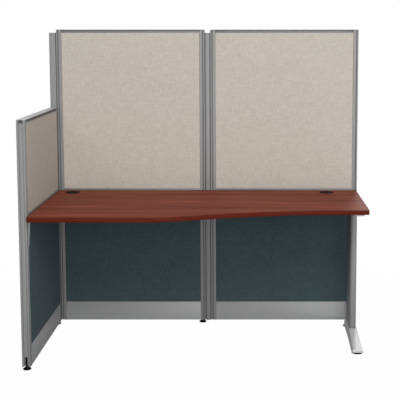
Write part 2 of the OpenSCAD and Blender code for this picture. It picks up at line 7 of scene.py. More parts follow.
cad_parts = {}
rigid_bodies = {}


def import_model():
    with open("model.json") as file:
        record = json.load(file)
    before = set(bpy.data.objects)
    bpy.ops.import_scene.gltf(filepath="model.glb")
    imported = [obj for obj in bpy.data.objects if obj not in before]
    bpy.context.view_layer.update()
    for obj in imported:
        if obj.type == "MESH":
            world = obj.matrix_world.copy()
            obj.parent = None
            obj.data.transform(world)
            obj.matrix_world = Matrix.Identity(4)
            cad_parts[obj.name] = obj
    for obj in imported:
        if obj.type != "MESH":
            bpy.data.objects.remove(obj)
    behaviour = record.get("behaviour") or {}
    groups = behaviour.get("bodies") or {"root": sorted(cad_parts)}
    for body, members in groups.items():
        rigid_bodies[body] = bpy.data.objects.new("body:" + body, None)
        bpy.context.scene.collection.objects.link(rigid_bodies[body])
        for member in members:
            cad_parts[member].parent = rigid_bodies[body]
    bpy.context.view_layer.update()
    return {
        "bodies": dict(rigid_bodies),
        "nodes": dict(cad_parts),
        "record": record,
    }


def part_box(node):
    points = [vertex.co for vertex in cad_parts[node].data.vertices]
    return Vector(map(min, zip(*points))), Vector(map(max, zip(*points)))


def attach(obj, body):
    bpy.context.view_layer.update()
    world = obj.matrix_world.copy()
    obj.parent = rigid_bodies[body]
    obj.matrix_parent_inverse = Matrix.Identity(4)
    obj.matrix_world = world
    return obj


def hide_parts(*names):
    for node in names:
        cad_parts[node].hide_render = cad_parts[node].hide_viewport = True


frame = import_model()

scene = bpy.context.scene
mainBody = "workstation"
mm = 0.001
noiseRange = (0.3, 0.7)            # nearly all values of a noise lie between these


# sRGB hex to linear RGBA
def linear(hexColour):
    channels = [int(hexColour[i:i + 2], 16) / 255 for i in (1, 3, 5)]
    return [c / 12.92 if c <= 0.04045 else ((c + 0.055) / 1.055) ** 2.4 for c in channels] + [1]


# Adds a node with its settings and links. An input takes a number, a colour, a socket,
# or a node, whose first output is then used; stops are places and colours along a ramp
def add(tree, kind, inputs=None, stops=(), **settings):
    node = tree.nodes.new(kind)
    for name, value in settings.items():
        setattr(node, name, value)
    for name, value in (inputs or {}).items():
        if isinstance(value, bpy.types.Node):
            value = value.outputs[0]
        if isinstance(value, bpy.types.NodeSocket):
            tree.links.new(value, node.inputs[name])
        else:
            node.inputs[name].default_value = value
    if stops:
        elements = node.color_ramp.elements
        while len(elements) < len(stops):
            elements.new(0.5)
        for element, (place, colour) in zip(elements, stops):
            element.position = place
            element.color = linear(colour)
    return node


def newMaterial(name):
    material = bpy.data.materials.new(name)
    material.use_nodes = True
    material.node_tree.nodes.clear()
    return material, material.node_tree


# Tack cloth: woven polyester, dull, with a heathered look from thicker threads both ways

clothLook = {
    "threadPitch": 2.2 * mm,       # real threads lie about 1 mm apart; drawn coarser so that they show
    "slubWidth": 4.5 * mm,         # as coarse as a pixel of the photo; real slubs are half as thick
    "slubLength": 38 * mm,
    "mottleSize": 60 * mm,
    "shares": (0.41, 0.36, 0.1),   # upright slubs, level slubs, mottle
    "weaveShare": 0.13,
    "stops": (0.32, 0.48, 0.66),   # tones at which the three colours stand
    "relief": 0.3 * mm,
    "slubRelief": 1.2,             # how far slubs stand out, against the threads of the weave
    "roughness": 0.9,
    "sheen": 0.04,
    "specular": 0.08,
    "tan": ("#b2aa9f", "#beb7ad", "#cac4bb"),
    "teal": ("#37464c", "#405054", "#4a595d"),
}


def tackCloth(name, colours):
    material, tree = newMaterial(name)
    pitch = clothLook["threadPitch"]
    coords = add(tree, "ShaderNodeTexCoord").outputs["Object"]
    place = add(tree, "ShaderNodeSeparateXYZ", {0: coords}).outputs
    # Back pads lie along x and side pads along y, so their sum runs along every pad
    along = add(tree, "ShaderNodeMath", {0: place["X"], 1: place["Y"]}, operation="ADD")
    spot = add(tree, "ShaderNodeCombineXYZ", {"X": along, "Y": place["Z"], "Z": pitch / 2})
    threads = []
    for way in (along, place["Z"]):
        across = add(tree, "ShaderNodeMath", {0: way, 1: pitch / 2}, operation="PINGPONG")
        threads.append(add(tree, "ShaderNodeMapRange", {"Value": across, "From Max": pitch / 2},
                           interpolation_type="SMOOTHSTEP"))
    over = add(tree, "ShaderNodeTexChecker", {"Vector": spot, "Scale": 1 / pitch}).outputs["Fac"]
    weave = add(tree, "ShaderNodeMix", {"Factor": over, "A": threads[0], "B": threads[1]})
    thin, drawn = 1 / clothLook["slubWidth"], 1 / clothLook["slubLength"]
    slubs = []
    for seed, stretch in ((3.1, (thin, drawn, 1)), (7.7, (drawn, thin, 1))):
        lying = add(tree, "ShaderNodeMapping", {"Vector": spot, "Location": (0, 0, seed), "Scale": stretch})
        slubs.append(add(tree, "ShaderNodeTexNoise", {"Vector": lying, "Scale": 1.0, "Detail": 2.0}))
    mottle = add(tree, "ShaderNodeTexNoise", {"Vector": spot, "Scale": 1 / clothLook["mottleSize"],
                                              "Detail": 3.0})
    parts = add(tree, "ShaderNodeCombineXYZ", {"X": slubs[0], "Y": slubs[1], "Z": mottle})
    heather = add(tree, "ShaderNodeVectorMath", {0: parts, 1: clothLook["shares"]}, operation="DOT_PRODUCT")
    tone = add(tree, "ShaderNodeMath", {0: weave, 1: clothLook["weaveShare"], 2: heather.outputs["Value"]},
               operation="MULTIPLY_ADD")
    colour = add(tree, "ShaderNodeValToRGB", {"Fac": tone}, stops=list(zip(clothLook["stops"], colours)))
    relief = add(tree, "ShaderNodeMath", {0: tone, 1: clothLook["slubRelief"], 2: weave},
                 operation="MULTIPLY_ADD")
    bump = add(tree, "ShaderNodeBump", {"Height": relief, "Distance": clothLook["relief"], "Strength": 0.7})
    shader = add(tree, "ShaderNodeBsdfPrincipled", {
        "Base Color": colour, "Normal": bump, "Roughness": clothLook["roughness"],
        "Specular IOR Level": clothLook["specular"], "Sheen Weight": clothLook["sheen"],
        "Sheen Roughness": 0.6})
    add(tree, "ShaderNodeOutputMaterial", {"Surface": shader})
    return material


# Silver powder coat on aluminium: an even satin with very fine flakes, faint lines along the extrusions, and
# painted shade in its grooves;
# the caps have a lighter grey, painted light that stands in for the light from above, and the castings of
# the leg more gloss and a lighter grey that is painted light as well

silverLook = {
    "flakeSize": 1.2 * mm,         # real flakes are finer than 0.1 mm; drawn coarse enough to show
    "lineSize": 4 * mm,            # real die lines lie about 1 mm apart; drawn coarser so that they show
    "lineStretch": 0.02,           # upright scale of the lines, which makes them 50 times as long
    "lineShare": 0.4,
    # Painted shade: ambient occlusion darkens the colour in grooves and recesses, where shade falls
    "paintedShadeReach": 8 * mm,         # painted shade: the colour darkens where walls stand nearer than this
    "paintedShadeTone": 0.45,
    "paintedShadeRange": (0.3, 0.85),      # from the deepest groove to a face that counts as free
    "relief": 0.02 * mm,
    "glossSpread": (-0.05, 0.06),
    "metallic": 0.1,
    "specular": 0.3,
    "frame": ("#7f7f7f", "#8b8b8b"),
    "frameRoughness": 0.5,
    # painted light: the caps' lighter grey stands in for the light from above that falls on their tops
    "cap": ("#c6c6c6", "#cfcfcf"),
    # partly painted light: the castings' gloss is their own, their lighter grey stands in for the light that
    # falls on their tops
    "leg": ("#c2c2c2", "#cecece"),
    "legRoughness": 0.38,
}


def silverPaint(name, colours, roughness):
    material, tree = newMaterial(name)
    coords = add(tree, "ShaderNodeTexCoord").outputs["Object"]
    upright = add(tree, "ShaderNodeMapping", {"Vector": coords, "Scale": (1, 1, silverLook["lineStretch"])})
    flakes = add(tree, "ShaderNodeTexNoise", {"Vector": coords, "Scale": 1 / silverLook["flakeSize"],
                                              "Detail": 2.0})
    lines = add(tree, "ShaderNodeTexNoise", {"Vector": upright, "Scale": 1 / silverLook["lineSize"],
                                             "Detail": 2.0})
    shade = add(tree, "ShaderNodeMix", {"Factor": silverLook["lineShare"], "A": flakes, "B": lines})
    colour = add(tree, "ShaderNodeValToRGB", {"Fac": shade}, stops=list(zip(noiseRange, colours)))
    # Painted shade: ambient occlusion darkens the colour in grooves and recesses, where shade falls
    paintedOcclusion = add(tree, "ShaderNodeAmbientOcclusion", {"Distance": silverLook["paintedShadeReach"]}, samples=6)
    deep, free = silverLook["paintedShadeRange"]
    cover = add(tree, "ShaderNodeMapRange", {"Value": paintedOcclusion.outputs["AO"], "From Min": deep,
                                             "From Max": free, "To Min": silverLook["paintedShadeTone"]})
    covered = add(tree, "ShaderNodeVectorMath", {0: colour, "Scale": cover}, operation="SCALE")
    low, high = [roughness + spread for spread in silverLook["glossSpread"]]
    gloss = add(tree, "ShaderNodeMapRange", {"Value": shade, "To Min": low, "To Max": high})
    bump = add(tree, "ShaderNodeBump", {"Height": flakes, "Distance": silverLook["relief"], "Strength": 0.5})
    shader = add(tree, "ShaderNodeBsdfPrincipled", {
        "Base Color": covered, "Roughness": gloss, "Normal": bump, "Metallic": silverLook["metallic"],
        "Specular IOR Level": silverLook["specular"]})
    add(tree, "ShaderNodeOutputMaterial", {"Surface": shader})
    return material


# Kick plate: powder-coated sheet steel with an orange-peel skin and faint scuffs low down

kickLook = {
    "peelSize": 2.2 * mm,          # waves of the powder's skin
    "scuffSize": 3 * mm,
    "scuffStretch": 0.12,          # level scale of the scuffs, which makes them 8 times as long
    "scuffAbove": 0.66,            # noise over this value is a scuff
    "scuffedFrom": 20 * mm,        # height above the floor up to which the scuffs are strongest
    "scuffedTo": 120 * mm,         # and from which on they are faintest
    "faintest": 0.2,
    "scuffShare": 0.3,
    "scuffGloss": 0.08,
    "relief": 0.04 * mm,
    "metallic": 0.1,
    "stops": (0.1, 0.6),           # tones at which the two colours stand
    "colours": ("#919293", "#9fa0a1"),
    "roughness": 0.48,
}


def kickPlatePaint(name):
    material, tree = newMaterial(name)
    coords = add(tree, "ShaderNodeTexCoord").outputs["Object"]
    stretch = kickLook["scuffStretch"]
    level = add(tree, "ShaderNodeMapping", {"Vector": coords, "Scale": (stretch, stretch, 1)})
    peel = add(tree, "ShaderNodeTexNoise", {"Vector": coords, "Scale": 1 / kickLook["peelSize"],
                                            "Detail": 1.0})
    scuff = add(tree, "ShaderNodeTexNoise", {"Vector": level, "Scale": 1 / kickLook["scuffSize"],
                                             "Detail": 4.0, "Roughness": 0.7})
    marks = add(tree, "ShaderNodeMath", {0: scuff, 1: kickLook["scuffAbove"]}, operation="GREATER_THAN")
    height = add(tree, "ShaderNodeSeparateXYZ", {0: coords}).outputs["Z"]
    lowDown = add(tree, "ShaderNodeMapRange", {
        "Value": height, "From Min": kickLook["scuffedFrom"], "From Max": kickLook["scuffedTo"],
        "To Min": 1.0, "To Max": kickLook["faintest"]})
    worn = add(tree, "ShaderNodeMath", {0: marks, 1: lowDown}, operation="MULTIPLY")
    shade = add(tree, "ShaderNodeMix", {"Factor": kickLook["scuffShare"], "A": peel, "B": worn})
    stops = list(zip(kickLook["stops"], kickLook["colours"]))
    colour = add(tree, "ShaderNodeValToRGB", {"Fac": shade}, stops=stops)
    gloss = add(tree, "ShaderNodeMath", {0: worn, 1: kickLook["scuffGloss"], 2: kickLook["roughness"]},
                operation="MULTIPLY_ADD")
    bump = add(tree, "ShaderNodeBump", {"Height": peel, "Distance": kickLook["relief"], "Strength": 0.5})
    shader = add(tree, "ShaderNodeBsdfPrincipled", {
        "Base Color": colour, "Roughness": gloss, "Normal": bump, "Metallic": kickLook["metallic"]})
    add(tree, "ShaderNodeOutputMaterial", {"Surface": shader})
    return material


# Red cherry laminate: printed straight grain under a satin wear layer with fine pores

laminateLook = {
    "figureSize": 36 * mm,         # broad bands of lighter and darker wood
    "lineSize": 4 * mm,            # growth lines
    "poreSize": 1.4 * mm,          # real pores are about 0.3 mm wide; drawn coarser so that they show
    "grainStretch": 0.05,          # scale along the grain, which draws it out 20 times
    "wander": 50 * mm,             # how far the grain drifts sideways
    "wanderSize": 300 * mm,
    "wanderScale": (0.5, 2, 1),
    "lineShare": 0.35,
    "stops": (0.34, 0.5, 0.66),    # tones at which the three colours of wood stand
    "poreRange": (0.62, 0.72),
    "poreShare": 0.35,
    "relief": 0.05 * mm,
    "lineRelief": 0.3,             # how deep the growth lines go, against the pores
    "specular": 0.06,
    "wood": ("#662c20", "#804130", "#985644"),
    "pore": "#592a1e",
    "roughness": (0.5, 0.62),
}


def cherryLaminate(name):
    look = laminateLook
    material, tree = newMaterial(name)
    coords = add(tree, "ShaderNodeTexCoord").outputs["Object"]
    slow = add(tree, "ShaderNodeMapping", {"Vector": coords, "Scale": look["wanderScale"]})
    bend = add(tree, "ShaderNodeTexNoise", {"Vector": slow, "Scale": 1 / look["wanderSize"], "Detail": 2.0})
    drift = add(tree, "ShaderNodeMath", {0: bend, 1: look["wander"]}, operation="MULTIPLY")
    sideways = add(tree, "ShaderNodeCombineXYZ", {"Y": drift})
    bent = add(tree, "ShaderNodeVectorMath", {0: coords, 1: sideways}, operation="ADD")
    grain = add(tree, "ShaderNodeMapping", {"Vector": bent, "Scale": (look["grainStretch"], 1, 1)})
    figure = add(tree, "ShaderNodeTexNoise", {"Vector": grain, "Scale": 1 / look["figureSize"],
                                              "Detail": 4.0, "Roughness": 0.6})
    lines = add(tree, "ShaderNodeTexNoise", {"Vector": grain, "Scale": 1 / look["lineSize"],
                                             "Detail": 3.0, "Roughness": 0.6})
    pores = add(tree, "ShaderNodeTexNoise", {"Vector": grain, "Scale": 1 / look["poreSize"], "Detail": 1.0})
    tone = add(tree, "ShaderNodeMix", {"Factor": look["lineShare"], "A": figure, "B": lines})
    wood = add(tree, "ShaderNodeValToRGB", {"Fac": tone}, stops=list(zip(look["stops"], look["wood"])))
    faint, full = look["poreRange"]
    pore = add(tree, "ShaderNodeMapRange", {"Value": pores, "From Min": faint, "From Max": full,
                                            "To Min": 0.0, "To Max": look["poreShare"]})
    colour = add(tree, "ShaderNodeMix", {"Factor": pore, "A": wood, "B": linear(look["pore"])},
                 data_type="RGBA").outputs["Result"]
    low, high = look["roughness"]
    gloss = add(tree, "ShaderNodeMapRange", {"Value": lines, "To Min": low, "To Max": high})
    relief = add(tree, "ShaderNodeMath", {0: lines, 1: look["lineRelief"], 2: pore},
                 operation="MULTIPLY_ADD")
    bump = add(tree, "ShaderNodeBump", {"Height": relief, "Distance": look["relief"], "Strength": 0.4},
               invert=True)
    shader = add(tree, "ShaderNodeBsdfPrincipled", {
        "Base Color": colour, "Roughness": gloss, "Normal": bump, "Specular IOR Level": look["specular"]})
    add(tree, "ShaderNodeOutputMaterial", {"Surface": shader})
    return material


# Cherry edge band: extruded plastic, darker than the face, with drawn-out streaks

bandLook = {
    "streakSize": 2.5 * mm,        # streaks of the printed wood
    "streakStretch": 0.04,         # level scale of the streaks, which draws them out 25 times
    "colours": ("#4a160b", "#5e2113"),
    "roughness": (0.48, 0.6),
    "relief": 0.03 * mm,
    "specular": 0.07,
}


def cherryBand(name):
    material, tree = newMaterial(name)
    coords = add(tree, "ShaderNodeTexCoord").outputs["Object"]
    stretch = bandLook["streakStretch"]
    level = add(tree, "ShaderNodeMapping", {"Vector": coords, "Scale": (stretch, stretch, 1)})
    streaks = add(tree, "ShaderNodeTexNoise", {"Vector": level, "Scale": 1 / bandLook["streakSize"],
                                               "Detail": 4.0, "Roughness": 0.6})
    stops = list(zip(noiseRange, bandLook["colours"]))
    colour = add(tree, "ShaderNodeValToRGB", {"Fac": streaks}, stops=stops)
    low, high = bandLook["roughness"]
    gloss = add(tree, "ShaderNodeMapRange", {"Value": streaks, "To Min": low, "To Max": high})
    bump = add(tree, "ShaderNodeBump", {"Height": streaks, "Distance": bandLook["relief"], "Strength": 0.4})
    shader = add(tree, "ShaderNodeBsdfPrincipled", {
        "Base Color": colour, "Roughness": gloss, "Normal": bump,
        "Specular IOR Level": bandLook["specular"]})
    add(tree, "ShaderNodeOutputMaterial", {"Surface": shader})
    return material


# Moulded nylon and plated steel: a fine skin or cloud in colour, gloss and relief

smallPartLook = {
    # Black nylon, spark-eroded: dull, catches a soft grey light on its edges. Its real grain is about
    # 0.1 mm, drawn coarser so that it shows
    "nylon": {"size": 1.0 * mm, "colours": ("#0b0c0c", "#141515"), "roughness": (0.5, 0.65),
              "metallic": 0.0, "specular": 0.04, "relief": 0.06 * mm},
    # Zinc-plated steel: bright grey metal with the faint cloudy patches of the plating bath
    "zinc": {"size": 6 * mm, "colours": ("#a9acae", "#c3c6c8"), "roughness": (0.28, 0.45),
             "metallic": 1.0, "specular": 0.5, "relief": 0.02 * mm},
}


def smallPartFinish(name, look):
    material, tree = newMaterial(name)
    coords = add(tree, "ShaderNodeTexCoord").outputs["Object"]
    skin = add(tree, "ShaderNodeTexNoise", {"Vector": coords, "Scale": 1 / look["size"], "Detail": 2.0})
    colour = add(tree, "ShaderNodeValToRGB", {"Fac": skin}, stops=list(zip(noiseRange, look["colours"])))
    low, high = look["roughness"]
    gloss = add(tree, "ShaderNodeMapRange", {"Value": skin, "To Min": low, "To Max": high})
    bump = add(tree, "ShaderNodeBump", {"Height": skin, "Distance": look["relief"], "Strength": 0.5})
    shader = add(tree, "ShaderNodeBsdfPrincipled", {
        "Base Color": colour, "Roughness": gloss, "Normal": bump, "Metallic": look["metallic"],
        "Specular IOR Level": look["specular"]})
    add(tree, "ShaderNodeOutputMaterial", {"Surface": shader})
    return material


finishes = {
    "silver_paint": silverPaint("silverPowderCoat", silverLook["frame"], silverLook["frameRoughness"]),
    "top_cap": silverPaint("silverCapPaintedLight", silverLook["cap"], silverLook["frameRoughness"]),
    "leg_silver": silverPaint("silverCastingGlossAndPaintedLight", silverLook["leg"], silverLook["legRoughness"]),
    "base_grey": kickPlatePaint("kickPlatePowderCoat"),
    "tan_fabric": tackCloth("tanTackCloth", clothLook["tan"]),
    "teal_fabric": tackCloth("tealTackCloth", clothLook["teal"]),
    "cherry_laminate": cherryLaminate("redCherryLaminate"),
    "cherry_edge": cherryBand("redCherryEdgeBand"),
    "black_plastic": smallPartFinish("blackMouldedNylon", smallPartLook["nylon"]),
    "zinc_steel": smallPartFinish("zincPlatedSteel", smallPartLook["zinc"]),
}
slotOf = {part["node"]: part["material_slot"] for part in frame["record"]["subparts"]}


# The caps carry the frame's slot in a lighter grey, which is painted light standing in for the light from
# above on their tops, and the gusset bracket has the tone of its stile
def finishOf(node):
    if node.endswith("top_cap"):
        return finishes["top_cap"]
    return finishes["silver_paint" if node == "side_gusset_bracket" else slotOf[node]]


for node, cadPiece in frame["nodes"].items():
    cadPiece.data.materials.clear()
    cadPiece.data.materials.append(finishOf(node))
print("materials:", len(finishes))


def addPiece(name, mesh, slot, *nodes, body=mainBody):
    piece = bpy.data.objects.new(name, mesh)
    scene.collection.objects.link(piece)
    if not mesh.materials:
        mesh.materials.append(finishes[slot])
    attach(piece, body)
    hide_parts(*nodes)
    return piece


# Gives an object's mesh with its modifiers applied, and removes the object
def finishedMesh(holder):
    bpy.context.view_layer.update()
    made = bpy.data.meshes.new_from_object(holder.evaluated_get(bpy.context.evaluated_depsgraph_get()))
    holder.modifiers.clear()
    bpy.data.objects.remove(holder)
    return made


# Runs a Geometry Nodes tree on a mesh; values go to the tree's inputs by their names
def grown(name, tree, mesh, values):
    holder = bpy.data.objects.new(name + "Maker", mesh)
    scene.collection.objects.link(holder)
    modifier = holder.modifiers.new("grown", "NODES")
    modifier.node_group = tree
    keys = {item.name: item.identifier for item in tree.interface.items_tree if item.in_out == "INPUT"}
    for key, value in values.items():
        modifier[keys[key]] = value
    return finishedMesh(holder)


def newTree(name, inputs):
    tree = bpy.data.node_groups.new(name, "GeometryNodeTree")
    tree.interface.new_socket("Geometry", in_out="INPUT", socket_type="NodeSocketGeometry")
    for label, kind in inputs.items():
        tree.interface.new_socket(label, in_out="INPUT", socket_type="NodeSocket" + kind)
    tree.interface.new_socket("Geometry", in_out="OUTPUT", socket_type="NodeSocketGeometry")
    return tree, add(tree, "NodeGroupInput").outputs


# Tack pads, by Geometry Nodes: a board with rounded edges whose cloth is a little crowned and uneven

padLook = {
    "Edge Radius": 2.6 * mm,
    "Crown": 0.7 * mm,
    "Unevenness": 0.35 * mm,
    "Uneven Size": 140 * mm,
    "Across": 41,                  # points along each side
    "Through": 5,
    "Crowding": 2.2,               # how strongly the points gather at the edges
    "Rim Steepness": 14.0,         # how late the crown fades out towards the rim
}
padSeedStep = 3.7                  # between the noise seeds of one pad and the next


def padTree():
    tree, given = newTree("clothPad", {
        "Length": "Float", "Height": "Float", "Thickness": "Float", "Edge Radius": "Float", "Crown": "Float",
        "Unevenness": "Float", "Uneven Size": "Float", "Seed": "Float", "Across": "Int", "Through": "Int",
        "Crowding": "Float", "Rim Steepness": "Float", "Cloth": "Material"})
    board = add(tree, "GeometryNodeMeshCube", {
        "Size": (2, 2, 2), "Vertices X": given["Across"], "Vertices Y": given["Through"],
        "Vertices Z": given["Across"]})
    place = add(tree, "GeometryNodeInputPosition")
    size = add(tree, "ShaderNodeCombineXYZ", {"X": given["Length"], "Y": given["Thickness"],
                                              "Z": given["Height"]})
    half = add(tree, "ShaderNodeVectorMath", {0: size, "Scale": 0.5}, operation="SCALE")
    # Points gather at the edges: 1 - (1 - |p|) ^ crowding, with p's own sign
    crowding = add(tree, "ShaderNodeCombineXYZ", {"X": given["Crowding"], "Y": 1.0, "Z": given["Crowding"]})
    bare = add(tree, "ShaderNodeVectorMath", {0: place}, operation="ABSOLUTE")
    toEdge = add(tree, "ShaderNodeVectorMath", {0: (1, 1, 1), 1: bare}, operation="SUBTRACT")
    kept = add(tree, "ShaderNodeVectorMath", {0: toEdge, 1: (0, 0, 0)}, operation="MAXIMUM")
    bent = add(tree, "ShaderNodeVectorMath", {0: kept, 1: crowding}, operation="POWER")
    gathered = add(tree, "ShaderNodeVectorMath", {0: (1, 1, 1), 1: bent}, operation="SUBTRACT")
    sign = add(tree, "ShaderNodeVectorMath", {0: place}, operation="SIGN")
    signed = add(tree, "ShaderNodeVectorMath", {0: gathered, 1: sign}, operation="MULTIPLY")
    spot = add(tree, "ShaderNodeVectorMath", {0: signed, 1: half}, operation="MULTIPLY")
    # Rounded edges: each point is set one radius away from the board's inner box
    radius = add(tree, "ShaderNodeCombineXYZ", {axis: given["Edge Radius"] for axis in "XYZ"})
    inner = add(tree, "ShaderNodeVectorMath", {0: half, 1: radius}, operation="SUBTRACT")
    innerLow = add(tree, "ShaderNodeVectorMath", {0: inner, "Scale": -1.0}, operation="SCALE")
    capped = add(tree, "ShaderNodeVectorMath", {0: spot, 1: inner}, operation="MINIMUM")
    core = add(tree, "ShaderNodeVectorMath", {0: capped, 1: innerLow}, operation="MAXIMUM")
    away = add(tree, "ShaderNodeVectorMath", {0: spot, 1: core}, operation="SUBTRACT")
    outward = add(tree, "ShaderNodeVectorMath", {0: away}, operation="NORMALIZE")
    rounded = add(tree, "ShaderNodeVectorMath", {0: outward, 1: radius, 2: core}, operation="MULTIPLY_ADD")
    # The front face, at share -1 of the thickness, crowns and waves, fading out at its rim
    share = add(tree, "ShaderNodeSeparateXYZ",
                {0: add(tree, "ShaderNodeVectorMath", {0: spot, 1: half}, operation="DIVIDE")}).outputs
    face = add(tree, "ShaderNodeMath", {0: share["Y"], 1: -0.99}, operation="LESS_THAN")
    for axis in ("X", "Z"):
        reach = add(tree, "ShaderNodeMath", {0: share[axis]}, operation="ABSOLUTE")
        steep = add(tree, "ShaderNodeMath", {0: reach, 1: given["Rim Steepness"]}, operation="POWER")
        rim = add(tree, "ShaderNodeMath", {0: 1.0, 1: steep}, operation="SUBTRACT")
        face = add(tree, "ShaderNodeMath", {0: face, 1: rim}, operation="MULTIPLY")
    density = add(tree, "ShaderNodeMath", {0: 1.0, 1: given["Uneven Size"]}, operation="DIVIDE")
    wave = add(tree, "ShaderNodeTexNoise", {"Vector": spot, "W": given["Seed"], "Detail": 1.0,
                                            "Scale": density}, noise_dimensions="4D")
    middle = add(tree, "ShaderNodeMath", {0: wave, 1: 0.5}, operation="SUBTRACT")
    swell = add(tree, "ShaderNodeMath", {0: middle, 1: given["Unevenness"], 2: given["Crown"]},
                operation="MULTIPLY_ADD")
    lift = add(tree, "ShaderNodeMath", {0: swell, 1: face}, operation="MULTIPLY")
    forward = add(tree, "ShaderNodeCombineXYZ", {"Y": lift})
    final = add(tree, "ShaderNodeVectorMath", {0: rounded, 1: forward}, operation="SUBTRACT")
    shaped = add(tree, "GeometryNodeSetPosition", {"Geometry": board, "Position": final})
    smooth = add(tree, "GeometryNodeSetShadeSmooth", {0: shaped})
    real = add(tree, "GeometryNodeRealizeInstances", {0: smooth})
    covered = add(tree, "GeometryNodeSetMaterial", {"Geometry": real, "Material": given["Cloth"]})
    add(tree, "NodeGroupOutput", {"Geometry": covered})
    return tree


clothPadTree = padTree()


# turn: how far the pad's front, first towards -y, is turned about z
def clothPad(name, node, slot, turn, seed):
    low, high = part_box(node)
    size = high - low
    length, thickness = (size.x, size.y) if turn % 180 == 0 else (size.y, size.x)
    mesh = grown(name, clothPadTree, bpy.data.meshes.new(name + "Start"), {
        **padLook, "Length": length, "Height": size.z, "Thickness": thickness, "Seed": seed,
        "Cloth": finishes[slot]})
    mesh.transform(Matrix.Translation((low + high) / 2) @ Matrix.Rotation(math.radians(turn), 4, "Z"))
    addPiece(name, mesh, slot, node)


padCount = 0
padSeed = 0.0
for panel, faces in (("left", {"front": 0, "back": 180}), ("right", {"front": 0, "back": 180}),
                     ("side", {"inner": 90, "outer": -90})):
    for level, slot in (("upper", "tan_fabric"), ("lower", "teal_fabric")):
        for face, turn in faces.items():
            padCount += 1
            padSeed += padSeedStep
            clothPad(panel + level.title() + face.title() + "Cloth", f"{panel}_{level}_pad_{face}", slot,
                     turn, padSeed)
print("pads:", padCount)


# Metal and plastic pieces keep their CAD shape and get slightly rounded edges

# Edge radius in mm by the end of the node's name; of two endings that fit, the later one counts
softEdges = {
    "stile": 0.7, "rail": 0.5, "cap": 0.6, "cover_front": 0.5, "cover_back": 0.5, "cover_inner": 0.5,
    "cover_outer": 0.5, "post": 0.6, "connector": 0.6, "trim": 0.4, "liner": 0.4, "grommet_cover": 0.4,
    "column": 0.6, "brackets": 0.4, "bracket": 0.5, "band": 0.6, "glide": 0.5,
}
roundingSteps = 2
roundedFrom = math.radians(35)     # flatter edges stay as they are
weldReach = 0.005 * mm             # points nearer than this become one
flatUpTo = math.radians(0.4)       # triangles that lie as flat as this to each other become one face


# The CAD mesh comes as loose triangles: they are welded, and flat areas become single faces
def weldedMesh(node):
    form = bmesh.new()
    form.from_mesh(frame["nodes"][node].data)
    bmesh.ops.remove_doubles(form, verts=form.verts, dist=weldReach)
    bmesh.ops.dissolve_limit(form, angle_limit=flatUpTo, verts=form.verts, edges=form.edges)
    bmesh.ops.recalc_face_normals(form, faces=form.faces)
    mesh = bpy.data.meshes.new(node + "Welded")
    form.to_mesh(mesh)
    form.free()
    mesh.shade_smooth()
    return mesh


# The connector's tongues, which end above its foot in the CAD, go on down, so that no light
# shows beside it

tongueLook = {
    "nodes": ("inline_connector",),
    "cadBottom": 80 * mm,
    "aboveFoot": 2 * mm,
    "tolerance": 0.1 * mm,
}


def drawnDown(node, mesh):
    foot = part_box(node)[0].z + tongueLook["aboveFoot"]
    for vertex in mesh.vertices:
        if abs(vertex.co.z - tongueLook["cadBottom"]) < tongueLook["tolerance"]:
            vertex.co.z = foot


def softened(node, width):
    welded = weldedMesh(node)
    if node in tongueLook["nodes"]:
        drawnDown(node, welded)
    holder = bpy.data.objects.new(node + "Maker", welded)
    scene.collection.objects.link(holder)
    bevel = holder.modifiers.new("roundedEdges", "BEVEL")
    bevel.width = width * mm
    bevel.segments = roundingSteps
    bevel.limit_method = "ANGLE"
    bevel.angle_limit = roundedFrom
    bevel.harden_normals = True        # so that the flat faces beside an edge stay flat to the eye
    made = finishedMesh(holder)
    made.materials.clear()
    made.materials.append(finishOf(node))
    addPiece(node + "_rounded", made, slotOf[node], node, body=node if node in frame["bodies"] else mainBody)


softCount = 0
for node in frame["nodes"]:
    radii = [radius for ending, radius in softEdges.items() if node.endswith(ending)]
    if radii:
        softened(node, radii[-1])
        softCount += 1
print("rounded pieces:", softCount)


# Screws under the worktop, by Geometry Nodes: pan heads with a cross recess, in the places of the CAD's

screwSpacing = 10 * mm             # two screws are never nearer to each other
creaseFrom = math.radians(32)      # edges as steep as this stay sharp
screwLook = {
    "Head Radius": 4.2 * mm,
    "Head Height": 2.6 * mm,
    "Dome": 1.5 * mm,              # how much of the head's height is domed
    "Shank Radius": 2 * mm,
    "Cross Length": 4.6 * mm,
    "Cross Width": 1.1 * mm,
    "Cross Depth": 1.9 * mm,
    "Sides": 32,
    "Rings": 6,
}


